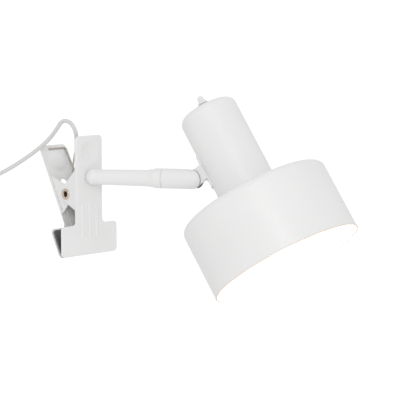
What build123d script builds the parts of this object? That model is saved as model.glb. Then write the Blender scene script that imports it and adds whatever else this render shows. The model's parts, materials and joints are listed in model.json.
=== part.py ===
from build123d import *

import math
import os

# Clip-on reading lamp: a sprung sheet-steel clamp, a hollow swivelling arm, a turning and tilting knuckle,
# and a spotlight head with a push switch on its end.
# Millimetres. Origin where the lower edges of the two jaw pads meet; +X out of the front jaw towards the head,
# +Y along the jaw's width, +Z up along the front handle.

# ---------------------------------------------------------------- clamp
SHEET = 1.2  # steel of both jaws
PLATE_H = 101.2  # whole height of a jaw stamping
JAW_W = 64.0  # wide gripping bar at its foot
JAW_H = 26.1
HANDLE_W = 30.0
CORNER_R = 3.6
FILLET_R = 4.5
BEND_R = 1.1  # outside of the folded edges
FRONT_FLANGE = 2.4  # depth of the handles' folded sides
REAR_FLANGE = 2.2
PIN_Z = 51.7  # above the foot of the stamping
PIN_DEPTH = 13.8  # behind the outer face
JAW_LEAN = 26.0  # rear jaw from the front jaw, shut
EAR_TOP = 73.4
EAR_FOOT = 38.5
EAR_NOSE_R = 6.5
STUD_Z = 66.5
STUD_HOLE_R = 3.5
DISH_Z = 87.0  # thumb dish: a shallow cap blended into the plate by a rounded rim
DISH_R = 11.0
DISH_DEPTH = 2.2
DISH_RIM_ARC = 4.5
RIB_Z = (13.0, 43.4)  # three raised ribs with rounded ends
RIB_GAP = 8.3
RIB_ARC = 2.0
RIB_PROUD = 0.8
RIB_SKIN = 1.05  # steel left at a rib's crest
FACE_X = 2.6  # outer face of the front jaw
FOOT_Z = -3.2  # foot of the front jaw
PAD_T = 1.2
PAD_MARGIN = 3.2  # from the stamping's foot to the pad
PAD_TOP_MARGIN = 1.5
PAD_SIDE_MARGIN = 1.5
PAD_CORNER_R = 2.5
RIVET_R = 2.95
RIVET_BORE_R = 2.2
RIVET_FLANGE_R = 4.6
RIVET_FLANGE_T = 0.9
RIVET_CLEAR = 0.06
EAR_CLEAR = 0.15  # between the nested ears
WIRE_R = 0.7
SPRING_R = 5.0  # mean radius of the spring's coil
SPRING_HALF = 11.7
SPRING_SPLAY = 12.8  # of the legs' tops from the middle
SPRING_TOP = 47.4  # of the bent-over leg ends, above the pin along each handle
SPRING_HOOK = 15.0
WIRE_BEND = 2.0

# ---------------------------------------------------------------- arm
FOOT_R = 6.75  # ball foot of the arm
FOOT_STAND = 4.7  # ball centre above the front jaw's face
ARM_LEAN = 31.0  # arm from the jaw's normal, sideways
ARM_R0 = 6.4
ARM_R1 = 6.95
ARM_WALL = 1.3
TUBE_START = 6.5  # distances along the arm from the ball centre
TUBE_END = 49.4
COLLAR_END = 59.7
PIVOT_S = 87.3  # tilt pivot
COLLAR_R = 8.35
FLARE_R = 7.5
FLARE_LEN = 3.4
STUD_R = 3.42
STUD_BORE_R = 2.4
NUT_AF = 11.0
WASHER_R = 6.2
SPINDLE_HEAD_R = 4.5
SPINDLE_R = 3.2
SPINDLE_BORE_R = 2.0
GAP = 0.1  # between faces that turn on each other

# ---------------------------------------------------------------- knuckle
SLOT_W = 4.8  # slanting slot that the tongue tilts in
SLOT_BACK = 8.1  # slot floor behind the pivot
TONGUE_T = 3.4
TONGUE_EYE_R = 6.9
TONGUE_ROOT_W = 12.6  # at the neck
TONGUE_FLANGE_R = 6.5
TONGUE_FLANGE_X = 8.55  # nearest the pivot
FRICTION_R = 7.95
SCREW_R = 1.7
SCREW_HEAD_R = 3.0

# ---------------------------------------------------------------- head
HEAD_ROLL = 15.4  # head about the arm
HEAD_LEAN = 30.4  # head from square to the arm
NECK_OFFSET = 35.5  # neck axis from the tilt pivot
NECK_R = 25.0
NECK_WALL = 1.0
NECK_TOP = 47.8  # heights along the head's axis from the pivot
SHADE_TOP = -37.1
RIM = -100.0
SHADE_R = 65.0
SHADE_WALL = 0.9
NECK_FILLET = 6.0
SHADE_FILLET = 5.5
SADDLE_T = 1.1
SADDLE_W = 18.0
SADDLE_Z = (-14.6, 19.8)
STEM_R = 3.4
STEM_BORE_R = 1.9
HOLDER_HOLE_R = 19.8
HOLDER_SKIRT_R = 19.4
HOLDER_SHOULDER_R = 22.4
HOLDER_BODY_R = 18.6
HOLDER_BORE_R = 15.0
HOLDER_H = 41.0
SHADE_RING_R = 25.0
SHADE_RING_H = 4.0
SWITCH_TOP = 12.8  # button's tip above the neck's end cap
SWITCH_STEM_R = 3.3
SWITCH_BODY_R = 7.5
SWITCH_BODY_L = 17.0
SWITCH_NUT_R = 4.9
SWITCH_NUT_H = 5.4
SWITCH_BARREL = 8.2  # barrel's top above the end cap
BARREL_FOOT_R = 4.7
BARREL_TIP_R = 3.1
BUTTON_R = 2.6
BULB_TIP = -89.5
BULB_R = 22.5
BULB_SEAT = 17.6  # the cap's contact above the shade's top
CAP_R = 12.6
CAP_L = 24.0
GLOBE_NECK_R = 13.6
LEAD_R = 0.9
LEAD_OUT = 15.3

# ---------------------------------------------------------------- cord
CORD_R = 1.7
COIL_R = 20.0
COIL_TUBE_R = 6.8
COIL_Z = 26.0  # of the coil's middle
COIL_DIR = (-0.75, -0.66)  # from the cord's way in to the coil's middle
PLUG_L = 36.0
PLUG_W = 35.3
PLUG_T = 13.7
PIN_L = 19.0
PIN_R = 2.0
PIN_PITCH = 19.0
TAIL_TOP = 12.0  # the cord leaves the coil's bundle
TAIL = 30.0  # from there to the plug
PLUG_NECK = (11.0, 8.0)  # across the cord's way in
PLUG_WAIST = (24.0, 12.0, 14.0)  # across and below the top

# The cord's route: out of the stud, up between the handles, over the front one and down past the rear one
ROUTE = [
    (-6.5, 0.0, 63.3),
    (-12.8, 0.8, 63.6),
    (-13.6, 2.4, 70.5),
    (-10.4, 0.4, 81.5),
    (-6.3, -6.4, 93.0),
    (-5.0, -8.2, 104.0),
    (-9.6, -10.4, 112.8),
    (-17.2, -13.2, 113.4),
    (-21.6, -15.8, 105.0),
    (-27.4, -18.8, 95.2),
    (-36.4, -23.0, 85.6),
    (-47.6, -30.4, 76.0),
    (-59.6, -39.2, 66.8),
    (-71.6, -48.4, 59.6),
    (-79.6, -54.6, 50.0),
    (-81.4, -56.8, 38.0),
]

ROOT_LOC = Location((FACE_X, 0, FOOT_Z))
PIN_X = FACE_X - PIN_DEPTH
PIN_H = FOOT_Z + PIN_Z
BALL = Vector(FACE_X + FOOT_STAND, 0, FOOT_Z + STUD_Z)


def unit(x, y, z):
    return Vector(x, y, z).normalized()


LEAN = math.radians(ARM_LEAN)
ROLL = math.radians(HEAD_ROLL)
BETA = math.radians(HEAD_LEAN)
ARM_DIR = unit(math.cos(LEAN), math.sin(LEAN), 0)
LEVEL = unit(math.sin(LEAN), -math.cos(LEAN), 0)
HEAD_SIDE = (LEVEL * math.cos(ROLL) + Vector(0, 0, 1) * math.sin(ROLL)).normalized()
ARM_UP = HEAD_SIDE.cross(ARM_DIR).normalized()
PIVOT = BALL + ARM_DIR * PIVOT_S
HEAD_OUT = (ARM_DIR * math.cos(BETA) + ARM_UP * math.sin(BETA)).normalized()
HEAD_UP = (ARM_UP * math.cos(BETA) - ARM_DIR * math.sin(BETA)).normalized()
ACROSS = Vector(0, -1, 0)
# The head tilts about an axis square to itself that lies as nearly as it can along the jaw's width
TILT_AXIS = (ACROSS - HEAD_UP * ACROSS.dot(HEAD_UP)).normalized()
SLOT_OUT = (ARM_DIR - TILT_AXIS * ARM_DIR.dot(TILT_AXIS)).normalized()
TONGUE_OUT = (HEAD_OUT - TILT_AXIS * HEAD_OUT.dot(TILT_AXIS)).normalized()

# Arm frame: z along the arm from the ball centre
ARM = Plane(origin=BALL, x_dir=HEAD_SIDE, z_dir=ARM_DIR)
# Slot and tongue frames: origin at the pivot, z along the tilt axis, x out of the knuckle and towards the neck
SLOT = Plane(origin=PIVOT, x_dir=SLOT_OUT, z_dir=TILT_AXIS)
TONGUE = Plane(origin=PIVOT, x_dir=TONGUE_OUT, z_dir=TILT_AXIS)
# Head frame: origin at the pivot, x towards the neck's axis, z up the head
HEAD = Plane(origin=PIVOT, x_dir=HEAD_OUT, z_dir=HEAD_UP)
NECK = Plane(origin=PIVOT + HEAD_OUT * NECK_OFFSET, x_dir=HEAD_OUT, z_dir=HEAD_UP)


# ---------------------------------------------------------------- helpers
def rod(r, z0, z1):
    """A cylinder on the local z axis from z0 to z1."""
    return Pos(0, 0, z0) * Cylinder(r, z1 - z0, align=(Align.CENTER, Align.CENTER, Align.MIN))


def ring(r1, r0, z0, z1):
    return rod(r1, z0, z1) - rod(r0, z0 - 1, z1 + 1)


def turned(*points):
    """A solid of revolution about the local z axis from (r, z) points."""
    profile = Plane.XZ * Polygon(*points, align=None)
    return revolve(profile, axis=Axis.Z)


def along(axis_dir, at):
    """A plane at a point whose z runs along axis_dir."""
    return Plane(origin=at, z_dir=axis_dir)


def bent_rod(points, radius, bend):
    """A round rod along straight runs joined by tangent arcs."""
    path = FilletPolyline(*points, radius=bend)
    return sweep(Plane(origin=path @ 0, z_dir=path % 0) * Circle(radius), path=path)


def hexagon(flats, bore, z0, z1):
    body = Pos(0, 0, z0) * extrude(RegularPolygon(flats / 2, 6, major_radius=False), z1 - z0)
    return body - rod(bore, z0 - 1, z1 + 1)


# ---------------------------------------------------------------- clamp parts
def jaw_outline():
    """Inverted T of the stamping in the YZ plane, as a sketch with y across and height up."""
    bar = Pos(0, JAW_H / 2) * RectangleRounded(JAW_W, JAW_H, CORNER_R)
    handle = Pos(0, PLATE_H / 2 + 6) * RectangleRounded(HANDLE_W, PLATE_H - 12, CORNER_R)
    shape = bar + handle
    inner = [
        v for v in shape.vertices() if abs(abs(v.X) - HANDLE_W / 2) < 0.01 and abs(v.Y - JAW_H) < 0.01
    ]
    return fillet(inner, FILLET_R)


def sheet_plane(x):
    """The plane x = const, with local x along +Y, local y along +Z and its normal along +X."""
    return Plane(origin=(x, 0, 0), x_dir=(0, 1, 0), z_dir=(1, 0, 0))


def ear(y0, y1):
    """One lug of a jaw that carries the pin, between two widths y0 < y1."""
    nose = Pos(-PIN_DEPTH, PIN_Z) * Circle(EAR_NOSE_R)
    root = Pos(-SHEET, (EAR_TOP + EAR_FOOT) / 2) * Rectangle(0.8, EAR_TOP - EAR_FOOT)
    hull = make_hull(nose.edges() + root.edges())
    side = Plane(origin=(0, y1, 0), x_dir=(1, 0, 0), z_dir=(0, -1, 0))
    return extrude(side * hull, y1 - y0)


def dish_face(offset):
    """Half section of the dish below a flat face at the given height, in the XZ plane: two tangent arcs."""
    slope = 2 * math.atan(DISH_DEPTH / DISH_R)
    cap_arc = DISH_R / math.sin(slope) - DISH_RIM_ARC
    join = (cap_arc * math.sin(slope), offset - DISH_DEPTH + cap_arc * (1 - math.cos(slope)))
    half = slope / 2
    cap_mid = (cap_arc * math.sin(half), offset - DISH_DEPTH + cap_arc * (1 - math.cos(half)))
    rim_mid = (DISH_R - DISH_RIM_ARC * math.sin(half), offset - DISH_RIM_ARC * (1 - math.cos(half)))
    lines = [
        ThreePointArc((0, offset - DISH_DEPTH), cap_mid, join),
        ThreePointArc(join, rim_mid, (DISH_R, offset)),
        Line((DISH_R, offset), (0, offset)),
        Line((0, offset), (0, offset - DISH_DEPTH)),
    ]
    return revolve(Plane.XZ * make_face(lines), axis=Axis.Z)


def rib(y, radius):
    """A bar with ball ends, sunk in the plate so that only its crest stands out of the face."""
    z0, z1 = RIB_Z
    x = RIB_PROUD - RIB_ARC
    bar = Pos(x, y, 0) * rod(radius, z0 + RIB_ARC, z1 - RIB_ARC)
    return bar + Pos(x, y, z0 + RIB_ARC) * Sphere(radius) + Pos(x, y, z1 - RIB_ARC) * Sphere(radius)


def flange(side, depth, z0):
    """Folded side of the handle, from a height up to its top."""
    z1 = PLATE_H - CORNER_R
    y = side * (HANDLE_W - SHEET) / 2
    fold = Pos(-depth / 2, y, (z0 + z1) / 2) * Box(depth, SHEET, z1 - z0)
    rear_top = fold.edges().filter_by(Axis.Y).sort_by(Axis.X)[:2].sort_by(Axis.Z)[-1]
    return fillet(rear_top, depth - SHEET - 0.2)


def stamping(ear_outer, flange_depth, flange_foot):
    """A jaw with its outer face on x = 0 and its foot on z = 0; its ears' outer faces are at +-ear_outer."""
    plate = extrude(sheet_plane(-SHEET) * jaw_outline(), SHEET)
    for side in (-1, 1):
        plate += flange(side, flange_depth, flange_foot)
        y0, y1 = sorted([side * ear_outer, side * (ear_outer - SHEET)])
        plate += ear(y0, y1)
    dish_plane = along((1, 0, 0), (0, 0, DISH_Z))
    plate += dish_plane * dish_face(-SHEET)
    plate -= dish_plane * dish_face(0)
    for i in (-1, 0, 1):
        crest = rib(i * RIB_GAP, RIB_ARC) & (Pos(2, 0, PLATE_H / 2) * Box(4 + SHEET, HANDLE_W, PLATE_H))
        plate = plate + crest - rib(i * RIB_GAP, RIB_ARC - RIB_SKIN)
    plate -= along((1, 0, 0), (0, 0, STUD_Z)) * rod(STUD_HOLE_R, -5, 5)
    plate -= along((0, 1, 0), (-PIN_DEPTH, 0, PIN_Z)) * rod(RIVET_R + RIVET_CLEAR, -HANDLE_W, HANDLE_W)
    sides = plate.edges().filter_by(Axis.Z).filter_by(
        lambda e: abs(e.center().X) < 0.01 and abs(abs(e.center().Y) - HANDLE_W / 2) < 0.01
    )
    return fillet(sides, BEND_R)


def pad():
    """A rubber pad on the inner face of the gripping bar."""
    h = JAW_H - PAD_MARGIN - PAD_TOP_MARGIN
    outline = RectangleRounded(JAW_W - 2 * PAD_SIDE_MARGIN, h, PAD_CORNER_R)
    face = sheet_plane(-SHEET - PAD_T) * Pos(0, PAD_MARGIN + h / 2) * outline
    return extrude(face, PAD_T)


def to_rear(shape):
    """Turn a front-jaw shape (outer face on x = 0) into the rear jaw's place, leaning back about the pin."""
    mirrored = mirror(shape, about=Plane.YZ)
    at_pin = Pos(-PIN_DEPTH, 0, -PIN_Z) * mirrored
    return Pos(PIN_X, 0, PIN_H) * (Rot(0, -JAW_LEAN, 0) * at_pin)


def rivet():
    """Hollow pivot rivet with a rolled flange at each end."""
    half = HANDLE_W / 2 + 0.1
    tube = ring(RIVET_R, RIVET_BORE_R, -half, half)
    for s in (-1, 1):
        z0, z1 = sorted([s * half, s * (half + RIVET_FLANGE_T)])
        lip = ring(RIVET_FLANGE_R, RIVET_BORE_R, z0, z1)
        outer = lip.edges().filter_by(GeomType.CIRCLE).sort_by(SortBy.RADIUS)[-2:]
        tube += fillet(outer.sort_by(Axis.Z)[1 if s > 0 else 0], 0.5)
    return along((0, 1, 0), (PIN_X, 0, PIN_H)) * tube


def spring():
    """Torsion spring: the outer shape of its coil, and two legs bent over at the tops of the handles."""
    coil = ring(SPRING_R + WIRE_R + 0.2, SPRING_R - WIRE_R - 0.2, -SPRING_HALF, SPRING_HALF)
    body = along((0, 1, 0), (PIN_X, 0, PIN_H)) * coil
    y = SPRING_HALF - WIRE_R - 0.4
    top_y = SPRING_SPLAY
    inset = PIN_DEPTH - SHEET - WIRE_R - 0.05
    front_top = (PIN_X + inset, PIN_H + SPRING_TOP)
    lean = math.radians(JAW_LEAN)
    rear_top = (
        PIN_X - inset * math.cos(lean) - SPRING_TOP * math.sin(lean),
        PIN_H - inset * math.sin(lean) + SPRING_TOP * math.cos(lean),
    )
    for (x, z), side, root in ((front_top, -1, SPRING_R), (rear_top, 1, -SPRING_R)):
        hook = [(PIN_X + root, side * y, PIN_H), (x, side * top_y, z), (x, side * (top_y - SPRING_HOOK), z)]
        body += bent_rod(hook, WIRE_R, WIRE_BEND)
    return body


# ---------------------------------------------------------------- arm parts
def arm_foot():
    """Ball foot: its flat back sits on the front jaw, its spigot enters the arm tube."""
    ball = Pos(*BALL) * Sphere(FOOT_R)
    ball -= Pos(FACE_X + 0.05 - 20, 0, BALL.Z) * Box(40, 60, 60)
    neck = ARM * rod(ARM_R0, 0, TUBE_START)
    neck -= Pos(FACE_X + 0.05 - 20, 0, BALL.Z) * Box(40, 60, 60)
    body = ball + neck + ARM * rod(ARM_R0 - ARM_WALL - 0.08, TUBE_START - 1, TUBE_START + 9)
    body -= ARM * rod(STUD_BORE_R, 0, TUBE_START + 12)
    body -= along((1, 0, 0), BALL) * rod(STUD_R + 0.04, -20, 1.0)
    return body


def arm_tube():
    outer = turned((0, TUBE_START), (ARM_R0, TUBE_START), (ARM_R1, TUBE_END), (0, TUBE_END))
    bore0 = ARM_R0 - ARM_WALL
    bore1 = ARM_R1 - ARM_WALL
    inner = turned((0, TUBE_START - 1), (bore0, TUBE_START - 1), (bore1, TUBE_END + 1), (0, TUBE_END + 1))
    return ARM * (outer - inner)


def stud():
    """Hollow threaded stud through the front jaw."""
    return along((1, 0, 0), BALL) * ring(STUD_R, STUD_BORE_R, -FOOT_STAND - SHEET - 6.5, 0.8)


def stud_washer():
    return along((1, 0, 0), (FACE_X - SHEET, 0, BALL.Z)) * ring(WASHER_R, STUD_R + 0.1, -1.05, -0.05)


def stud_nut():
    return along((1, 0, 0), (FACE_X - SHEET, 0, BALL.Z)) * hexagon(NUT_AF, STUD_R + 0.03, -5.1, -1.1)


def cord_bush():
    """Plastic bush that the cord comes out of, in the end of the stud."""
    back = FACE_X - SHEET - 6.5
    plane = along((-1, 0, 0), (back, 0, BALL.Z))
    body = ring(STUD_R + 0.5, CORD_R + 0.1, 0.02, 1.3) + ring(STUD_BORE_R - 0.03, CORD_R + 0.1, -5, 0.1)
    return plane * body


def collar():
    """Flared collar on the arm's end that the knuckle turns in."""
    spigot_r = ARM_R1 - ARM_WALL - 0.12
    flare_z = TUBE_END + 1.3
    body = turned(
        (0, TUBE_END - 8), (spigot_r, TUBE_END - 8), (spigot_r, TUBE_END + 0.05), (FLARE_R, TUBE_END + 0.05),
        (FLARE_R, TUBE_END + 0.8), (FLARE_R - 0.3, TUBE_END + 1.0), (FLARE_R - 0.3, flare_z),
        (COLLAR_R, flare_z + FLARE_LEN), (COLLAR_R, COLLAR_END - 0.5), (COLLAR_R - 0.5, COLLAR_END), (0, COLLAR_END),
    )
    body -= rod(SPINDLE_HEAD_R + 0.2, TUBE_END - 9, TUBE_END + 4.5)
    return ARM * (body - rod(SPINDLE_R + 0.07, TUBE_END, COLLAR_END + 1))


def spindle():
    """Hollow spindle of the knuckle, headed inside the collar."""
    shaft = ring(SPINDLE_R, SPINDLE_BORE_R, TUBE_END, COLLAR_END + 6)
    head = ring(SPINDLE_HEAD_R, SPINDLE_BORE_R, TUBE_END, TUBE_END + 2.4)
    return ARM * (shaft + head)


def spindle_washer():
    return ARM * ring(SPINDLE_HEAD_R, SPINDLE_R + 0.1, TUBE_END + 2.5, TUBE_END + 4.4)


# ---------------------------------------------------------------- knuckle parts
def knuckle():
    """Round knuckle with a domed end and a slanting slot."""
    start = COLLAR_END + GAP
    body = turned((0, start), (COLLAR_R - 0.5, start), (COLLAR_R, start + 0.5), (COLLAR_R, PIVOT_S), (0, PIVOT_S))
    body += Pos(0, 0, PIVOT_S) * Sphere(COLLAR_R)
    body -= rod(SPINDLE_R + 0.03, start - 1, COLLAR_END + 6.1)
    body -= rod(SPINDLE_BORE_R, start, PIVOT_S)
    body = ARM * body
    reach = 3 * COLLAR_R
    body -= SLOT * (Pos(reach / 2 - SLOT_BACK, 0, 0) * Box(reach, reach, SLOT_W))
    body -= SLOT * rod(SCREW_R + 0.03, -COLLAR_R, COLLAR_R - 2.2)
    body -= SLOT * rod(SCREW_HEAD_R + 0.1, -COLLAR_R - 1, -COLLAR_R + 2.6)
    return body


def knuckle_screw():
    body = rod(SCREW_R, -COLLAR_R + 2.0, COLLAR_R - 2.4)
    body += rod(SCREW_HEAD_R, -COLLAR_R + 0.6, -COLLAR_R + 2.6)
    body -= Pos(0, 0, -COLLAR_R + 0.5) * extrude(RegularPolygon(1.25, 6, major_radius=False), 1.4)
    return SLOT * body


def friction_washers():
    discs = []
    for side in (-1, 1):
        z0, z1 = sorted([side * (TONGUE_T / 2 + 0.08), side * (SLOT_W / 2 - 0.05)])
        discs.append(SLOT * ring(FRICTION_R, SCREW_R + 0.1, z0, z1))
    return Compound(children=discs)


def tongue():
    """Flat eye in the slot that widens to the neck, a flange on the neck and a hollow stem through its wall."""
    reach = NECK_OFFSET - NECK_R + TONGUE_EYE_R
    eye_w = TONGUE_EYE_R * 0.98
    blade = Polygon(
        (0, -eye_w), (reach, -TONGUE_ROOT_W / 2), (reach, TONGUE_ROOT_W / 2), (0, eye_w), align=None
    )
    flat = TONGUE * (Pos(0, 0, -TONGUE_T / 2) * extrude(Circle(TONGUE_EYE_R) + blade, TONGUE_T))
    out = HEAD * Plane(origin=(0, 0, 0), z_dir=(1, 0, 0))
    wall = NECK_OFFSET - NECK_R
    flat += out * rod(TONGUE_FLANGE_R, TONGUE_FLANGE_X, wall + 2)
    flat -= NECK * rod(NECK_R + SADDLE_T + 0.02, RIM, NECK_TOP)
    flat += out * rod(STEM_R, TONGUE_FLANGE_X, wall + 7)
    flat -= out * rod(1.1, TONGUE_FLANGE_X - 4, wall)
    flat -= out * rod(STEM_BORE_R, wall - 1, wall + 8)
    flat -= TONGUE * rod(SCREW_R + 0.07, -COLLAR_R, COLLAR_R)
    return flat


def saddle():
    """Curved plate between the tongue and the neck."""
    band = ring(NECK_R + SADDLE_T, NECK_R + 0.04, SADDLE_Z[0], SADDLE_Z[1])
    front = Plane(origin=(-NECK_R, 0, 0), z_dir=(1, 0, 0))
    outline = RectangleRounded(SADDLE_Z[1] - SADDLE_Z[0], SADDLE_W, 3.0)
    window = front * extrude(Pos(-(SADDLE_Z[0] + SADDLE_Z[1]) / 2, 0) * outline, 9, both=True)
    body = band & window
    body -= front * rod(STEM_R + 0.05, -5, 5)
    return NECK * body


def tongue_nut():
    flat = -NECK_R + NECK_WALL
    across = Plane(origin=(0, 0, 0), z_dir=(1, 0, 0))
    return NECK * (across * hexagon(10.0, STEM_R + 0.03, flat + 1.9, flat + 5.0))


def tongue_washer():
    flat = -NECK_R + NECK_WALL
    across = Plane(origin=(0, 0, 0), z_dir=(1, 0, 0))
    return NECK * (across * ring(5.2, STEM_R + 0.08, flat + 0.75, flat + 1.8))


# ---------------------------------------------------------------- head parts
def cup(radius, wall, top, foot, round_r, hole_r):
    """A drawn cup, open at its foot, with a hole in its top."""
    outer = rod(radius, foot, top)
    outer = fillet(outer.edges().filter_by(GeomType.CIRCLE).sort_by(Axis.Z)[-1], round_r)
    inner = rod(radius - wall, foot - 1, top - wall)
    inner = fillet(inner.edges().filter_by(GeomType.CIRCLE).sort_by(Axis.Z)[-1], round_r - wall)
    return outer - inner - rod(hole_r, top - 5, top + 5)


def neck_housing():
    body = cup(NECK_R, NECK_WALL, NECK_TOP, SHADE_TOP + 0.05, NECK_FILLET, SWITCH_STEM_R + 0.1)
    body -= Plane(origin=(-NECK_R, 0, 0), z_dir=(1, 0, 0)) * rod(STEM_R + 0.05, -5, 5)
    return NECK * body


def shade():
    body = cup(SHADE_R, SHADE_WALL, SHADE_TOP, RIM, SHADE_FILLET, HOLDER_HOLE_R)
    return NECK * body


def switch_body():
    """Push switch: its housing inside the neck and a tapered barrel outside."""
    top = NECK_TOP - NECK_WALL
    foot = NECK_TOP + SWITCH_NUT_H + 0.05
    tip = NECK_TOP + SWITCH_BARREL
    body = rod(SWITCH_BODY_R, top - SWITCH_BODY_L, top - 0.1) + rod(SWITCH_STEM_R, top - 1, foot)
    body += turned((0, foot), (BARREL_FOOT_R, foot), (BARREL_TIP_R, tip), (0, tip))
    rim = body.edges().filter_by(GeomType.CIRCLE).sort_by(Axis.Z)[-1]
    return NECK * (fillet(rim, 0.3) - rod(BUTTON_R + 0.1, top - 8, tip + 1))


def switch_nut():
    """Round nut with a knurled rim."""
    body = ring(SWITCH_NUT_R, SWITCH_STEM_R + 0.05, NECK_TOP + 0.05, NECK_TOP + SWITCH_NUT_H)
    for angle in range(0, 360, 15):
        body -= Rot(0, 0, angle) * Pos(SWITCH_NUT_R + 0.15, 0, 0) * rod(0.35, NECK_TOP, NECK_TOP + SWITCH_NUT_H + 1)
    return NECK * body


def switch_button():
    body = rod(BUTTON_R, NECK_TOP - 5.0, NECK_TOP + SWITCH_TOP)
    return NECK * fillet(body.edges().filter_by(GeomType.CIRCLE).sort_by(Axis.Z)[-1], BUTTON_R - 0.3)


def holder_body():
    """Screw-base lamp holder: its shoulder stands on the shade, its threaded skirt goes through it."""
    s = SHADE_TOP
    body = turned(
        (0, s - 10), (HOLDER_SKIRT_R, s - 10), (HOLDER_SKIRT_R, s + 0.1), (HOLDER_SHOULDER_R, s + 0.1),
        (HOLDER_SHOULDER_R, s + 3), (HOLDER_BODY_R, s + 5), (HOLDER_BODY_R, s + 30),
        (HOLDER_BORE_R, s + HOLDER_H), (0, s + HOLDER_H),
    )
    body -= rod(HOLDER_BORE_R, s - 11, s + 18.5)
    body -= ring(17.6, 13.0, s + 31, s + HOLDER_H + 1)
    return NECK * (body - rod(2.0, s + 18, s + 22))


def holder_shell():
    """Threaded metal sleeve that takes the bulb's cap."""
    s = SHADE_TOP
    return NECK * ring(HOLDER_BORE_R - 0.1, HOLDER_BORE_R - 0.9, s - 8, s + 17.5)


def holder_contact():
    s = SHADE_TOP
    return NECK * (rod(1.9, s + 18.3, s + 21.5) + rod(4.5, s + 17.75, s + 18.4))


def shade_ring():
    """Ring nut under the shade on the holder's skirt."""
    s = SHADE_TOP - SHADE_WALL
    body = ring(SHADE_RING_R, HOLDER_SKIRT_R + 0.1, s - SHADE_RING_H, s - 0.05)
    for angle in range(0, 360, 45):
        body -= Rot(0, 0, angle) * Pos(SHADE_RING_R, 0, s - SHADE_RING_H) * Box(2.4, 5.0, 3.0)
    return NECK * body


def bulb_cap():
    top = SHADE_TOP + BULB_SEAT
    foot = top - CAP_L
    return NECK * turned(
        (0, top), (4.6, top), (6.0, top - 2.6), (CAP_R, top - 4.2), (CAP_R, foot + 1.4), (CAP_R + 0.6, foot), (0, foot)
    )


def bulb_globe():
    """Small globe bulb: a flared neck into a ball."""
    top = SHADE_TOP + BULB_SEAT - CAP_L - 0.05
    centre = BULB_TIP + BULB_R
    with BuildPart() as globe:
        with BuildSketch(Plane.XZ):
            with BuildLine():
                Line((0, top), (GLOBE_NECK_R, top))
                Line((GLOBE_NECK_R, top), (GLOBE_NECK_R + 0.6, top - 3))
                a = math.radians(38)
                end = (BULB_R * math.cos(a), centre + BULB_R * math.sin(a))
                Line((GLOBE_NECK_R + 0.6, top - 3), end)
                ThreePointArc(end, (BULB_R, centre), (BULB_R * math.sin(a), centre - BULB_R * math.cos(a)))
                ThreePointArc(
                    (BULB_R * math.sin(a), centre - BULB_R * math.cos(a)),
                    (BULB_R * math.sin(a / 2), centre - BULB_R * math.cos(a / 2)),
                    (0, BULB_TIP),
                )
                Line((0, BULB_TIP), (0, top))
            make_face()
        revolve(axis=Axis.Z)
    return NECK * globe.part


def lead_wires():
    """Two insulated leads inside the neck: stem to holder, and switch to holder."""
    top = SHADE_TOP + 31.5
    stem = -NECK_R + 7.5
    first = bent_rod(
        [(stem, 0, 0), (stem + 5.0, 0, 0), (stem + 5.0, 0, 4.0), (-LEAD_OUT, 0, 4.0), (-LEAD_OUT, 0, top)], LEAD_R, 1.6
    )
    foot = NECK_TOP - NECK_WALL - SWITCH_BODY_L - 0.05
    second = bent_rod(
        [(4.0, 0, foot), (4.0, 0, foot - 8.0), (LEAD_OUT, 0, foot - 13.0), (LEAD_OUT, 0, top)], LEAD_R, 2.5
    )
    return Compound(children=[NECK * first, NECK * second])


# ---------------------------------------------------------------- cord parts
def bends(points):
    """The largest radius for each corner of a route: 0.45 of its shorter run over the tangent of half its turn."""
    pts = [Vector(*p) for p in points]
    radii = []
    for a, b, c in zip(pts, pts[1:], pts[2:]):
        turn = math.radians((b - a).get_angle(c - b))
        radii.append(0.45 * min((b - a).length, (c - b).length) / math.tan(turn / 2))
    return radii


def power_cord():
    """The cord's visible run; it prints its bend radii and its length."""
    radii = bends(ROUTE)
    cord = bent_rod(ROUTE, CORD_R, radii)
    print("cord radii", [round(r, 1) for r in radii])
    print("cord length", round(cord.volume / (math.pi * CORD_R**2)))
    return cord


def coil_middle():
    end = Vector(*ROUTE[-1])
    way = unit(*COIL_DIR, 0)
    return Vector(end.X, end.Y, COIL_Z) + way * COIL_R, way


def cord_coil():
    """Outer shape of the tied coil, hanging in an upright plane from the cord."""
    middle, way = coil_middle()
    return Plane(origin=middle, x_dir=way, z_dir=way.cross(Vector(0, 0, 1))) * Torus(COIL_R, COIL_TUBE_R)


def coil_tie():
    """Strap round the coil's bundle at its top."""
    middle, way = coil_middle()
    at = middle + Vector(0, 0, COIL_R)
    return along(way, at) * ring(COIL_TUBE_R + 1.2, COIL_TUBE_R + 0.45, -3.0, 3.0)


def cord_tail():
    """Last stretch of cord, from the coil down to the plug."""
    x, y, _ = ROUTE[-1]
    return Pos(x, y, 0) * rod(CORD_R, TAIL_TOP - TAIL, TAIL_TOP)


def plug():
    """Flat two-pin plug, pins down: the body and the pair of pins."""
    x, y, _ = ROUTE[-1]
    _, way = coil_middle()
    top = Vector(x, y, TAIL_TOP - TAIL)
    plane = Plane(origin=top, x_dir=way.cross(Vector(0, 0, 1)), z_dir=(0, 0, -1))
    shell = loft(
        [
            Plane.XY.offset(0.02) * RectangleRounded(*PLUG_NECK, 3.5),
            Plane.XY.offset(PLUG_WAIST[2]) * RectangleRounded(*PLUG_WAIST[:2], 5.0),
            Plane.XY.offset(PLUG_L) * RectangleRounded(PLUG_W, PLUG_T, 6.0),
        ],
        ruled=True,
    )
    pins = []
    for s in (-1, 1):
        pin = Pos(s * PIN_PITCH / 2, 0, 0) * rod(PIN_R, PLUG_L + 0.02, PLUG_L + PIN_L)
        pins.append(plane * fillet(pin.edges().filter_by(GeomType.CIRCLE).sort_by(Axis.Z)[-1], 1.2))
    return plane * shell, Compound(children=pins)


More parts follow.
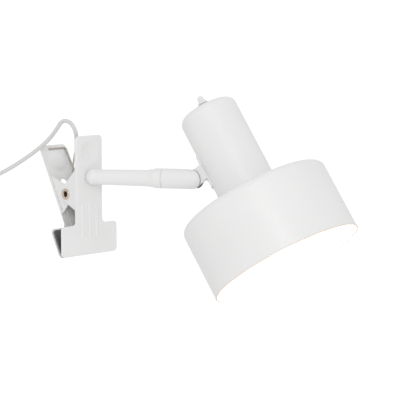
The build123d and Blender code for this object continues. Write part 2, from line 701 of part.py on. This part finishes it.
# ---------------------------------------------------------------- write
def main():
    os.makedirs("parts", exist_ok=True)
    half = HANDLE_W / 2
    plug_shell, plug_pins = plug()
    nodes = {
        "front_jaw": ROOT_LOC * stamping(half, FRONT_FLANGE, JAW_H + 0.3),
        "rear_jaw": to_rear(stamping(half - SHEET - EAR_CLEAR, REAR_FLANGE, EAR_FOOT)),
        "front_pad": ROOT_LOC * pad(),
        "rear_pad": to_rear(pad()),
        "pivot_rivet": rivet(),
        "torsion_spring": spring(),
        "arm_foot": arm_foot(),
        "arm_tube": arm_tube(),
        "arm_stud": stud(),
        "stud_washer": stud_washer(),
        "stud_nut": stud_nut(),
        "cord_bush": cord_bush(),
        "arm_collar": collar(),
        "knuckle_spindle": spindle(),
        "spindle_washer": spindle_washer(),
        "knuckle_body": knuckle(),
        "knuckle_screw": knuckle_screw(),
        "friction_washers": friction_washers(),
        "knuckle_tongue": tongue(),
        "neck_saddle": saddle(),
        "tongue_washer": tongue_washer(),
        "tongue_nut": tongue_nut(),
        "neck_housing": neck_housing(),
        "shade": shade(),
        "shade_ring": shade_ring(),
        "switch_body": switch_body(),
        "switch_nut": switch_nut(),
        "switch_button": switch_button(),
        "holder_body": holder_body(),
        "holder_shell": holder_shell(),
        "holder_contact": holder_contact(),
        "bulb_cap": bulb_cap(),
        "bulb_globe": bulb_globe(),
        "lead_wires": lead_wires(),
        "power_cord": power_cord(),
        "cord_coil": cord_coil(),
        "coil_tie": coil_tie(),
        "cord_tail": cord_tail(),
        "plug_body": plug_shell,
        "plug_pins": plug_pins,
    }
    for name, shape in nodes.items():
        export_step(shape, f"parts/{name}.step")


main()
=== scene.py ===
import json
import math

import bmesh
import bpy
from mathutils import Matrix, Vector


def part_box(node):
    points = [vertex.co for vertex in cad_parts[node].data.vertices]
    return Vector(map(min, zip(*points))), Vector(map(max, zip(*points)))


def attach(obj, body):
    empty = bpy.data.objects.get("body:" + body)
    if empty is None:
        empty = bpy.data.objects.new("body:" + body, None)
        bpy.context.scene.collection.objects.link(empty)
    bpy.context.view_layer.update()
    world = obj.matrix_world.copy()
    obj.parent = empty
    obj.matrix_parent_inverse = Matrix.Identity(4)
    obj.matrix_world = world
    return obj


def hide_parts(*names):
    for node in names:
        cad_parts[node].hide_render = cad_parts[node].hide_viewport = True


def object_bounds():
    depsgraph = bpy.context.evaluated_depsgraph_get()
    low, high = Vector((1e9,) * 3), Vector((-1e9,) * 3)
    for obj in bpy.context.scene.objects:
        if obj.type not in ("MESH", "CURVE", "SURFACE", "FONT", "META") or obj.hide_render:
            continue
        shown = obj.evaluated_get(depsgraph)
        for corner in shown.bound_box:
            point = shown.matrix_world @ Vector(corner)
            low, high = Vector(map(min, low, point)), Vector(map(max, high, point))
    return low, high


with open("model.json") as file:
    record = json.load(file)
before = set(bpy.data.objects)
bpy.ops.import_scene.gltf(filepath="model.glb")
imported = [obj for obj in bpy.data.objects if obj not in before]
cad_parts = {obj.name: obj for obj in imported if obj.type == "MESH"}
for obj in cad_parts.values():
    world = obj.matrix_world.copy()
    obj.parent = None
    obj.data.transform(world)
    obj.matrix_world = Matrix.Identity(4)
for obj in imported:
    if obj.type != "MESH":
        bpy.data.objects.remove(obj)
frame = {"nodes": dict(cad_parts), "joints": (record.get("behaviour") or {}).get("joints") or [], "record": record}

CAD_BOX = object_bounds()

# Clip-on reading lamp: the finishes of the design's parts, and finer pieces for its cord, spring, rivet, pads,
# bulb cap, tie and plug. Lengths are in millimetres, and in metres where a name's line multiplies by MM.
MM = 0.001
X, Y, Z = Vector((1, 0, 0)), Vector((0, 1, 0)), Vector((0, 0, 1))
JOINTS = {j["name"]: j for j in frame["joints"]}
PIN = Vector(JOINTS["clamp_open"]["pos_m"])
PIVOT = Vector(JOINTS["head_tilt"]["pos_m"])
HEAD_UP = -Vector(JOINTS["switch_push"]["axis"]).normalized()
STEM_NUT = Vector(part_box("tongue_nut")[0]).lerp(Vector(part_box("tongue_nut")[1]), 0.5) - PIVOT
HEAD_OUT = (STEM_NUT - HEAD_UP * STEM_NUT.dot(HEAD_UP)).normalized()


# ---------------------------------------------------------------- frames
def frame_at(origin, x_dir, z_dir):
    """Matrix of a frame with its x and z along the given directions."""
    z = z_dir.normalized()
    x = (x_dir - z * x_dir.dot(z)).normalized()
    y = z.cross(x)
    m = Matrix((x, y, z)).transposed().to_4x4()
    m.translation = origin
    return m


def mm_frame(origin, x_dir, z_dir):
    """A frame whose unit is the millimetre."""
    return frame_at(origin, x_dir, z_dir) @ Matrix.Scale(MM, 4)


# ---------------------------------------------------------------- camera
CAM_AZIMUTH = math.radians(43.08)
CAM_ELEVATION = math.radians(6.59)
CAM_DISTANCE = 1.4573  # metres
CAM_LENS = 154.305
CAM_SENSOR = 36.0
CAM_JAW_FOOT = Vector((2.6, 0, -2.5)) * MM
CAM_RIGHT = 93.35 * MM  # from the jaw's foot to the middle of the picture
CAM_UP = 45.5 * MM


def make_camera():
    a, e = CAM_AZIMUTH, CAM_ELEVATION
    ahead = Vector((-math.sin(a) * math.cos(e), math.cos(a) * math.cos(e), -math.sin(e)))
    right = Vector((math.cos(a), math.sin(a), 0))
    up = right.cross(ahead)
    target = CAM_JAW_FOOT + right * CAM_RIGHT + up * CAM_UP
    data = bpy.data.cameras.new("camera")
    data.sensor_width = CAM_SENSOR
    data.lens = CAM_LENS
    data.clip_start = 0.05
    camera = bpy.data.objects.new("camera", data)
    bpy.context.scene.collection.objects.link(camera)
    camera.matrix_world = frame_at(target - ahead * CAM_DISTANCE, right, -ahead)
    bpy.context.scene.camera = camera


# ---------------------------------------------------------------- materials
ROUGH_SPREAD = 0.06


def node_material(name):
    mat = bpy.data.materials.new(name)
    mat.use_nodes = True
    tree = mat.node_tree
    return mat, tree, tree.nodes["Principled BSDF"]


def noise(tree, scale, detail):
    coord = tree.nodes.new("ShaderNodeTexCoord")
    n = tree.nodes.new("ShaderNodeTexNoise")
    n.inputs["Scale"].default_value = scale
    n.inputs["Detail"].default_value = detail
    n.inputs["Roughness"].default_value = 0.55
    tree.links.new(coord.outputs["Object"], n.inputs["Vector"])
    return n


def ramp(tree, source, low, high):
    r = tree.nodes.new("ShaderNodeValToRGB")
    r.color_ramp.elements[0].position = 0.3
    r.color_ramp.elements[1].position = 0.7
    r.color_ramp.elements[0].color = low
    r.color_ramp.elements[1].color = high
    tree.links.new(source, r.inputs["Fac"])
    return r


def grey(v):
    return (v, v, v, 1)


def tint(rgb, k):
    return tuple(min(1.0, c * k) for c in rgb) + (1,)


def surface(name, rgb, rough, bump_scale, bump_height, metallic=0.0, vary=0.03, vary_scale=25.0):
    """A procedural finish: cloudy colour variation, uneven roughness and a fine grain in relief, whose
    height is in metres."""
    mat, tree, bsdf = node_material(name)
    cloud = noise(tree, vary_scale, 4.0)
    colour = ramp(tree, cloud.outputs["Fac"], tint(rgb, 1 - vary), tint(rgb, 1 + vary))
    tree.links.new(colour.outputs["Color"], bsdf.inputs["Base Color"])
    patch = noise(tree, vary_scale * 6, 3.0)
    dull = ramp(tree, patch.outputs["Fac"], grey(rough - ROUGH_SPREAD), grey(rough + ROUGH_SPREAD))
    tree.links.new(dull.outputs["Color"], bsdf.inputs["Roughness"])
    grain = noise(tree, bump_scale, 2.0)
    bump = tree.nodes.new("ShaderNodeBump")
    bump.inputs["Strength"].default_value = 1.0
    bump.inputs["Distance"].default_value = bump_height
    tree.links.new(grain.outputs["Fac"], bump.inputs["Height"])
    tree.links.new(bump.outputs["Normal"], bsdf.inputs["Normal"])
    bsdf.inputs["Metallic"].default_value = metallic
    return mat


def bulb_material():
    """Opal glass, lit from inside."""
    mat, tree, bsdf = node_material("opal_bulb")
    cloud = noise(tree, 90.0, 3.0)
    colour = ramp(tree, cloud.outputs["Fac"], (0.95, 0.93, 0.88, 1), (0.98, 0.97, 0.93, 1))
    tree.links.new(colour.outputs["Color"], bsdf.inputs["Base Color"])
    bsdf.inputs["Roughness"].default_value = 0.35
    bsdf.inputs["Emission Color"].default_value = (1.0, 0.93, 0.84, 1)
    bsdf.inputs["Emission Strength"].default_value = 9.0
    return mat


PAINT = surface("white_powder_coat", (0.825, 0.825, 0.822), 0.4, 900.0, 0.00008, vary=0.012)
# This black dresses the rubber pads and, through its slot, the knuckle's friction washers, where the black stands
# in part for painted shade in the slot.
RUBBER_AND_PAINTED_SLOT_SHADE = surface("black_rubber", (0.14, 0.14, 0.141), 0.72, 2600.0, 0.00003, vary=0.25)
BRASS = surface("brass", (0.66, 0.56, 0.46), 0.34, 900.0, 0.00001, 1.0, vary=0.14, vary_scale=300.0)
SPRING = surface("spring_steel", (0.50, 0.47, 0.42), 0.3, 1500.0, 0.000004, 1.0, vary=0.1, vary_scale=120.0)
ZINC = surface("zinc_steel", (0.55, 0.55, 0.56), 0.34, 1500.0, 0.00001, 1.0, vary=0.1, vary_scale=300.0)
NICKEL = surface("nickel", (0.74, 0.72, 0.68), 0.2, 1500.0, 0.000005, 1.0, vary=0.06, vary_scale=300.0)
PLASTIC = surface("white_plastic", (0.83, 0.83, 0.82), 0.3, 1800.0, 0.000012, vary=0.012)
# The rim bead's peach tint is painted light: the warm glow of the bulb on the shade's mouth.
RIM_PAINTED_GLOW = surface("shade_rim_painted_bulb_glow", (0.88, 0.77, 0.69), 0.4, 900.0, 0.00002, vary=0.02)
JACKET = surface("cord_jacket", (0.67, 0.67, 0.665), 0.5, 1600.0, 0.000008, vary=0.02)
BULB = bulb_material()

SLOT_MATERIAL = {
    "white_paint": PAINT, "black_rubber": RUBBER_AND_PAINTED_SLOT_SHADE, "brass": BRASS, "spring_steel": SPRING, "zinc_steel": ZINC,
    "nickel": NICKEL, "white_plastic": PLASTIC, "cord_jacket": JACKET, "opal_bulb": BULB,
}


def dress_parts():
    """Every part of the design takes the finish of its slot."""
    for part in frame["record"]["subparts"]:
        data = frame["nodes"][part["node"]].data
        data.materials.clear()
        data.materials.append(SLOT_MATERIAL[part["material_slot"]])


# ---------------------------------------------------------------- helpers
def spline_curve(name, points, radius, mat):
    data = bpy.data.curves.new(name, "CURVE")
    data.dimensions = "3D"
    data.bevel_depth = radius
    data.bevel_resolution = 5
    data.resolution_u = 8
    data.use_fill_caps = True
    spline = data.splines.new("NURBS")
    spline.points.add(len(points) - 1)
    for p, co in zip(spline.points, points):
        p.co = (*co, 1)
    spline.order_u = 3
    spline.use_endpoint_u = True
    obj = bpy.data.objects.new(name, data)
    bpy.context.scene.collection.objects.link(obj)
    obj.data.materials.append(mat)
    return obj


def mesh_piece(name, verts, faces, mat):
    mesh = bpy.data.meshes.new(name)
    mesh.from_pydata([tuple(v) for v in verts], [], faces)
    bm = bmesh.new()
    bm.from_mesh(mesh)
    bmesh.ops.recalc_face_normals(bm, faces=bm.faces)
    bm.to_mesh(mesh)
    bm.free()
    mesh.polygons.foreach_set("use_smooth", [True] * len(mesh.polygons))
    obj = bpy.data.objects.new(name, mesh)
    bpy.context.scene.collection.objects.link(obj)
    mesh.materials.append(mat)
    return obj


def hand_over(obj, body, slot, *nodes):
    """The piece rides on a body and stands for CAD nodes, which are hidden. The slot is not used."""
    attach(obj, body)
    if nodes:
        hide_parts(*nodes)
    return obj


def skin(rings, closed=False):
    """Vertices and faces of a skin over rings of equal length, closed on itself or capped at both ends."""
    n = len(rings[0])
    verts = [v for r in rings for v in r]
    faces = []
    for i in range(len(rings) if closed else len(rings) - 1):
        a, b = i * n, ((i + 1) % len(rings)) * n
        faces += [(a + j, a + (j + 1) % n, b + (j + 1) % n, b + j) for j in range(n)]
    if not closed:
        faces += [tuple(range(n))[::-1], tuple(range(len(verts) - n, len(verts)))]
    return verts, faces


def around_angles(count):
    return [2 * math.pi * k / count for k in range(count)]


def lathe(name, place, profile, mat, around, closed=False):
    """A turned piece from (radius, height) points about the z axis of a millimetre frame."""
    rings = []
    for r, z in profile:
        rings.append([place @ Vector((r * math.cos(a), r * math.sin(a), z)) for a in around_angles(around)])
    return mesh_piece(name, *skin(rings, closed), mat)


def sleeve(name, line, radii, mat, around=32):
    """A round sleeve along a line of points, each with its own radius, all in metres."""
    side = Vector((0.31, 0.84, 0.21))
    angles = around_angles(around)
    rings = []
    for i, p in enumerate(line):
        way = (line[min(i + 1, len(line) - 1)] - line[max(i - 1, 0)]).normalized()
        side = (side - way * side.dot(way)).normalized()
        other = way.cross(side)
        rings.append([p + (side * math.cos(a) + other * math.sin(a)) * radii[i] for a in angles])
    return mesh_piece(name, *skin(rings), mat)


def rounded_ring(w, h, r, per_corner):
    """Points round a rectangle with rounded corners, centred."""
    points = []
    for cx, cy, start in ((1, 1, 0), (-1, 1, 90), (-1, -1, 180), (1, -1, 270)):
        for k in range(per_corner + 1):
            a = math.radians(start + 90 * k / per_corner)
            points.append((cx * (w / 2 - r) + r * math.cos(a), cy * (h / 2 - r) + r * math.sin(a)))
    return points


def smooth_steps(stations, x):
    """Value at x between (x, value) stations, with level tangents at each."""
    for (x0, v0), (x1, v1) in zip(stations, stations[1:]):
        if x <= x1:
            t = max(0.0, (x - x0) / (x1 - x0))
            return v0 + (v1 - v0) * t * t * (3 - 2 * t)
    return stations[-1][1]


def bezier(a, b, c, t):
    return a * (1 - t) ** 2 + b * 2 * t * (1 - t) + c * t * t


# ---------------------------------------------------------------- clamp pieces
JAW_LEAN = math.radians(26.0)  # rear jaw from the front jaw, shut
FACE_X = 2.6  # outer face of the front jaw
FOOT_Z = -3.2  # foot of the front jaw
PIN_DEPTH = 13.8  # pin behind a jaw's outer face
PIN_Z = 51.7  # pin above a jaw's foot
SHEET = 1.2
WIRE_R = 0.66 * MM
WIRE_GAP = 0.75  # wire's middle from a handle's inner face
SPRING_R = 5.0
SPRING_HALF = 10.9  # of the coil's width
POINTS_PER_SPRING_TURN = 14
LEG_Y = 12.9
LEG_TOP = 45.8  # above the pin
LEG_INSET = PIN_DEPTH - SHEET - WIRE_GAP
HOOK_BEND = 2.2
RIVET_HALF = 15.08
RIVET_R = 2.95
RIVET_LIP = [
    (2.25, -1.4), (2.35, -0.2), (2.6, 0.45), (3.05, 0.85), (3.6, 0.95), (4.15, 0.75), (4.55, 0.4),
    (4.6, 0.12), (4.4, 0.03),
]


def spring_half(name, side, turns, start, root_turn, top, bow, hook, body):
    """Half of the spring's coil, from the middle of the pin out to one end, then its leg and hook.
    side is the end's sign along Y; the angle runs from start to root_turn about the pin; top is (x, z);
    bow is how far the leg bends back behind the straight line to its top."""
    pin = PIN / MM
    steps = int(turns * POINTS_PER_SPRING_TURN)
    points = []
    for k in range(steps + 1):
        t = k / steps
        a = start + (root_turn - start) * t
        points.append(pin + Vector((math.cos(a), 0, math.sin(a))) * SPRING_R + Y * side * SPRING_HALF * t)
    root = points[-1]
    corner = Vector((top[0], side * LEG_Y, top[1]))
    end = corner - Y * side * hook
    down = (root - corner).normalized()
    points += [root.lerp(corner, 0.42) - X * bow, root.lerp(corner, 0.72) - X * bow * 0.55]
    points += [corner + down * HOOK_BEND, corner]
    points += [corner - Y * side * HOOK_BEND, corner.lerp(end, 0.5), end]
    wire = spline_curve(name, [q * MM for q in points], WIRE_R, SPRING)
    return hand_over(wire, body, "spring_steel", "torsion_spring")


def make_spring():
    px, pz = PIN.x / MM, PIN.z / MM
    turn = 2 * math.pi
    front_top = (px + LEG_INSET, pz + LEG_TOP)
    rear_top = (
        px - LEG_INSET * math.cos(JAW_LEAN) - LEG_TOP * math.sin(JAW_LEAN),
        pz - LEG_INSET * math.sin(JAW_LEAN) + LEG_TOP * math.cos(JAW_LEAN),
    )
    rear_root = math.pi + JAW_LEAN
    spring_half("spring_front", -1, 6.5, -6.5 * turn, 0.0, front_top, bow=3.0, hook=15.0, body="clamp")
    spring_half("spring_rear", 1, 6.9, 7.5 * turn, rear_root, rear_top, bow=0.0, hook=18.5, body="rear_jaw")


def make_rivet():
    """Hollow rivet with a lip rolled over at each end."""
    right = [(r, RIVET_HALF + z) for r, z in RIVET_LIP] + [(RIVET_R, RIVET_HALF)]
    left = [(r, -z) for r, z in reversed(right)]
    rivet = lathe("rivet", mm_frame(PIN, X, Y), right + left, BRASS, 48, closed=True)
    hand_over(rivet, "clamp", "brass", "pivot_rivet")


def pad_point(depth, y, z, rear):
    """A point of a pad: depth behind the jaw's outer face, across, and up from the jaw's foot."""
    if not rear:
        return Vector((FACE_X - depth, y, FOOT_Z + z)) * MM
    x, up = depth - PIN_DEPTH, z - PIN_Z
    c, n = math.cos(JAW_LEAN), math.sin(JAW_LEAN)
    return PIN + Vector((x * c - up * n, y, x * n + up * c)) * MM


def make_pad(name, body, node, rear):
    """A moulded rubber pad with fine ribs along it and a plain border."""
    z0, z1, half, corner, thick = 3.2, 24.6, 30.5, 2.5, 1.2
    border, pitch, groove, chamfer = 1.6, 1.5, 0.4, 0.25
    rows, columns = 112, 14
    loops = []
    for i in range(rows + 1):
        z = z0 + (z1 - z0) * i / rows
        edge = min(z - z0, z1 - z)
        width = half - (corner - math.sqrt(corner**2 - max(0.0, corner - edge) ** 2))
        dip = 0.0
        if edge > border:
            dip = groove * 0.5 * (1 - math.cos(2 * math.pi * (z - z0 - border) / pitch))
        rim = [-width, -width + chamfer, -half + border - 0.2, -half + border]
        if edge < border / 2:
            rim = [-width, -width * 0.995, -width * 0.98, -width * 0.96]
        ys = rim + [rim[-1] * (1 - 2 * k / columns) for k in range(1, columns)] + [-v for v in reversed(rim)]
        last = len(ys) - 1
        face = []
        for j, y in enumerate(ys):
            cut = chamfer if j in (0, last) else dip if 3 <= j <= last - 3 else 0.0
            face.append(pad_point(SHEET + thick - cut, y, z, rear))
        loops.append(face + [pad_point(SHEET + 0.01, y, z, rear) for y in reversed(ys)])
    hand_over(mesh_piece(name, *skin(loops), RUBBER_AND_PAINTED_SLOT_SHADE), body, "black_rubber", node)


# ---------------------------------------------------------------- head pieces
NECK_OFFSET = 35.5 * MM  # neck's axis from the tilt pivot
NECK_MM = mm_frame(PIVOT + HEAD_OUT * NECK_OFFSET, HEAD_OUT, HEAD_UP)
SHADE_R = 65.0
CAP_TOP = -19.5  # heights along the neck's axis from the pivot
CAP_FOOT = -43.5
CAP_R = 12.4
CAP_SKIRT = 2.6
RIM_Z = -99.8
RIM_BEAD = 0.7


def make_bulb_cap():
    """Screw cap of the bulb: contact, insulator, rolled thread and flared skirt."""
    length, shoulder, thread, pitch = CAP_TOP - CAP_FOOT, 5.2, 0.42, 3.6
    outline = [(0, 4.5), (0.5, 5.0), (2.2, 6.4), (4.4, 12.0), (shoulder, CAP_R)]
    outline += [(length - CAP_SKIRT, CAP_R), (length, CAP_R + 0.9)]
    steps = 120
    rings = []
    for i in range(steps + 1):
        z = CAP_TOP - length * i / steps
        cut = thread if CAP_TOP - shoulder > z > CAP_FOOT + CAP_SKIRT else 0.0
        ring = []
        for a in around_angles(64):
            r = smooth_steps(outline, CAP_TOP - z) + cut * math.cos(2 * math.pi * z / pitch + a)
            ring.append(NECK_MM @ Vector((r * math.cos(a), r * math.sin(a), z)))
        rings.append(ring)
    cap = mesh_piece("screw_cap", *skin(rings), NICKEL)
    hand_over(cap, "head", "nickel", "bulb_cap")


def make_rim():
    """Rolled bead at the shade's mouth, tinted peach as painted glow of the bulb on its edge."""
    radius = SHADE_R - 0.5
    profile = [(radius + RIM_BEAD * math.cos(a), RIM_Z + RIM_BEAD * math.sin(a)) for a in around_angles(14)]
    rim = lathe("shade_rim", NECK_MM, profile, RIM_PAINTED_GLOW, 160, closed=True)
    hand_over(rim, "head", "white_paint")


# ---------------------------------------------------------------- cord and plug
CORD_R = 1.7 * MM
# The cord's route, close to the design's; the coil's turns and the tail to the plug follow it
ROUTE = [
    (-6.5, 0.0, 63.3),
    (-12.8, 0.8, 63.6),
    (-13.6, 2.4, 70.5),
    (-10.4, 0.4, 81.5),
    (-6.3, -6.4, 93.0),
    (-5.0, -8.2, 101.6),
    (-9.2, -10.3, 109.4),
    (-16.6, -13.0, 110.9),
    (-21.4, -15.7, 102.4),
    (-27.4, -18.8, 94.0),
    (-36.4, -23.0, 85.6),
    (-47.6, -30.4, 76.0),
    (-59.6, -39.2, 66.8),
    (-71.6, -48.4, 59.6),
    (-79.6, -54.6, 50.0),
    (-81.4, -56.8, 38.0),
]
COIL_WAY = Vector((-0.75, -0.66, 0)).normalized()
COIL_SIDE = COIL_WAY.cross(Z)
COIL_R = 20.0  # coil's middle from the lead
COIL_MAIN_R = 19.6
COIL_BUNDLE_R = 6.12
COIL_LANES = 11
COIL_TURNS = 10
COIL_MIDDLE = Vector((ROUTE[-1][0], ROUTE[-1][1], 26.0)) + COIL_WAY * COIL_R
POINTS_PER_TURN = 16
TAIL_FOOT = -18.0
TIE_R = 8.5
PLUG_LENGTH = 36.0
PLUG_WIDTHS = [(0, 9.6), (1.2, 11.0), (5, 12.0), (15, 24.5), (27, 33.6), (34.6, 35.3), (PLUG_LENGTH, 33.6)]
PLUG_DEPTHS = [(0, 7.0), (1.2, 8.0), (5, 9.0), (15, 12.2), (27, 13.6), (34.6, 13.7), (PLUG_LENGTH, 12.2)]
PLUG_RIDGES = (10.5, 26.5)


def coil_place(turns):
    """Centre of the cord after that many turns: the strands lie side by side round a ring-shaped bundle."""
    around = 2 * math.pi * turns
    lane = math.pi / COIL_LANES * (1 - 2 * turns)
    r = COIL_MAIN_R + COIL_BUNDLE_R * math.cos(lane)
    side = COIL_BUNDLE_R * math.sin(lane)
    out = -COIL_WAY * math.cos(around) - Z * math.sin(around)
    return COIL_MIDDLE + out * r + COIL_SIDE * side


def make_cord():
    """The cord, and its points: the route, whose last two points are moved to meet the coil, then the
    coil's turns and the tail."""
    turns = [coil_place(k / POINTS_PER_TURN) for k in range(COIL_TURNS * POINTS_PER_TURN + 1)]
    entry, leave = turns[0], turns[-1]
    foot = Vector((ROUTE[-1][0], ROUTE[-1][1], TAIL_FOOT))
    route = [Vector(p) for p in ROUTE[:-2]]
    route += [Vector((entry.x, entry.y, p[2])) for p in ROUTE[-2:]]
    route[-2] -= COIL_WAY * 0.8
    tail = [leave - Z * 12, leave.lerp(foot, 0.62) - Z * 2, foot + Z * 12, foot]
    points = [p * MM for p in route + turns + tail]
    cord = spline_curve("cord", points, CORD_R, JACKET)
    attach(cord, "clamp")
    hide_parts("power_cord", "cord_coil", "cord_tail")
    return cord, points


def make_relief(name, points, reach, steps, root, tip, rings):
    """Ringed strain relief that tapers along the cord from the first of three of its points; reach is its
    share of the bend between them."""
    p0, p1, p2 = points
    groove_depth, tip_round = 0.28, 0.15
    line = [bezier(p0, p1, p1.lerp(p2, 0.5), reach * k / steps) for k in range(steps + 1)]
    radii = []
    for k in range(steps + 1):
        t = k / steps
        groove = 0.0
        if 0.08 < t < 0.92:
            groove = groove_depth * (0.5 - 0.5 * math.cos(2 * math.pi * rings * t))
        radii.append((root + (tip - root) * t - groove) * MM)
    radii[-1] -= tip_round * MM
    return hand_over(sleeve(name, line, radii, PLASTIC), "clamp", "white_plastic")


def tie_band(place):
    """Rings of the tie's band, which goes round the bundle."""
    profile = [(TIE_R + q, p) for p, q in rounded_ring(5.0, 1.0, 0.25, 2)]
    return [
        [place @ Vector((r * math.cos(a), r * math.sin(a), z)) for r, z in profile] for a in around_angles(72)
    ]


def tie_head(place):
    """Rings of the tie's locking head."""
    slices = ((-3.0, 5.6, 3.4), (-2.7, 6.4, 4.2), (2.7, 6.4, 4.2), (3.0, 5.6, 3.4))
    return [
        [place @ Vector((TIE_R + 1.8 + q, y, p)) for p, q in rounded_ring(w, h, 0.9, 4)] for y, w, h in slices
    ]


def tie_end(place):
    """Rings of the tie's loose end: toothed, and narrower at its tip."""
    steps = 12
    rings = []
    for k in range(steps + 1):
        t = k / steps
        w = 4.4 * (1 - 0.5 * max(0.0, t - 0.8) / 0.2)
        thick = 0.9 + 0.12 * (k % 2)
        out, reach = TIE_R + 1.7 + 2.6 * t * t, 2.6 + 12.0 * t
        rings.append([place @ Vector((out + q, reach, p)) for p, q in rounded_ring(w, thick, 0.4, 3)])
    return rings


def make_tie():
    """Releasable tie round the coil's bundle: a band, its locking head and the loose end."""
    place = mm_frame((COIL_MIDDLE + Z * COIL_MAIN_R) * MM, COIL_SIDE, COIL_WAY)
    verts, faces = skin(tie_band(place), closed=True)
    for rings in (tie_head(place), tie_end(place)):
        more_verts, more_faces = skin(rings)
        faces += [tuple(i + len(verts) for i in f) for f in more_faces]
        verts += more_verts
    return hand_over(mesh_piece("coil_strap", verts, faces, PLASTIC), "clamp", "white_plastic", "coil_tie")


def make_plug(foot):
    """Flat two-pin plug: a waisted body with grip ridges on both faces and soft edges."""
    place = mm_frame(foot, COIL_SIDE, -Z)
    ridge_height, pitch, crest = 0.45, 2.6, 12.0
    steps = 144
    rings = []
    for i in range(steps + 1):
        z = PLUG_LENGTH * i / steps
        w, d = smooth_steps(PLUG_WIDTHS, z), smooth_steps(PLUG_DEPTHS, z)
        ridge = 0.0
        if PLUG_RIDGES[0] < z < PLUG_RIDGES[1]:
            ridge = ridge_height * max(0.0, math.cos(2 * math.pi * (z - crest) / pitch))
        rings.append([place @ Vector((x, y, z)) for x, y in rounded_ring(w, d - ridge, min(w, d) * 0.42, 8)])
    return hand_over(mesh_piece("plug_shell", *skin(rings), PLASTIC), "clamp", "white_plastic", "plug_body")


# ---------------------------------------------------------------- stage
SEEN_WHITE = 1.05  # what the camera sees of the floor and the sky
SKY_LIGHT = 0.83
FLOOR_HALF = 6.0  # metres
FLOOR_DROP = 0.35  # metres below the lamp
FLOOR_GREY = 0.96


def shown_to_camera(tree, lit, seen, surface_input):
    """The camera sees one shader, and the lamp is lit by the other."""
    path = tree.nodes.new("ShaderNodeLightPath")
    mix = tree.nodes.new("ShaderNodeMixShader")
    tree.links.new(path.outputs["Is Camera Ray"], mix.inputs[0])
    tree.links.new(lit.outputs[0], mix.inputs[1])
    tree.links.new(seen.outputs[0], mix.inputs[2])
    tree.links.new(mix.outputs[0], surface_input)


def make_stage():
    """White floor under the lamp, which throws light back up."""
    z = CAD_BOX[0][2] - FLOOR_DROP
    corners = [(x * FLOOR_HALF, y * FLOOR_HALF, z) for x, y in ((-1, -1), (1, -1), (1, 1), (-1, 1))]
    mesh = bpy.data.meshes.new("floor")
    mesh.from_pydata(corners, [], [(0, 1, 2, 3)])
    floor = bpy.data.objects.new("floor", mesh)
    bpy.context.scene.collection.objects.link(floor)
    mat, tree, bsdf = node_material("floor_white")
    bsdf.inputs["Base Color"].default_value = grey(FLOOR_GREY)
    bsdf.inputs["Roughness"].default_value = 0.9
    glow = tree.nodes.new("ShaderNodeEmission")
    glow.inputs["Strength"].default_value = SEEN_WHITE
    shown_to_camera(tree, bsdf, glow, tree.nodes["Material Output"].inputs["Surface"])
    mesh.materials.append(mat)


def make_world():
    """Even white sky."""
    world = bpy.data.worlds.new("studio")
    bpy.context.scene.world = world
    world.use_nodes = True
    tree = world.node_tree
    back = tree.nodes["Background"]
    seen = tree.nodes.new("ShaderNodeBackground")
    for sky, strength in ((back, SKY_LIGHT), (seen, SEEN_WHITE)):
        sky.inputs["Color"].default_value = grey(1)
        sky.inputs["Strength"].default_value = strength
    shown_to_camera(tree, back, seen, tree.nodes["World Output"].inputs["Surface"])


def area_light(name, place, target, size, power):
    """A round lamp; places and size in metres, power in watts."""
    data = bpy.data.lights.new(name, "AREA")
    data.shape = "DISK"
    data.size = size
    data.energy = power
    lamp = bpy.data.objects.new(name, data)
    bpy.context.scene.collection.objects.link(lamp)
    way = Vector(place) - Vector(target)
    lamp.matrix_world = frame_at(Vector(place), Z.cross(way), way)


make_camera()
dress_parts()
make_stage()
make_world()
area_light("key", place=(1.25, -1.0, 0.72), target=(0.06, 0.03, 0.05), size=0.5, power=4.8)
bpy.context.scene.view_settings.view_transform = "Standard"

make_spring()
make_rivet()
make_pad("pad_front", "clamp", "front_pad", False)
make_pad("pad_rear", "rear_jaw", "rear_pad", True)
make_bulb_cap()
make_rim()
cord, cord_points = make_cord()
make_relief("stud_relief", cord_points[:3], reach=0.62, steps=40, root=3.0, tip=2.15, rings=5)
plug_relief = make_relief("plug_relief", cord_points[:-4:-1], reach=0.5, steps=50, root=3.9, tip=2.2, rings=6)
coil_strap = make_tie()
plug_shell = make_plug(cord_points[-1])
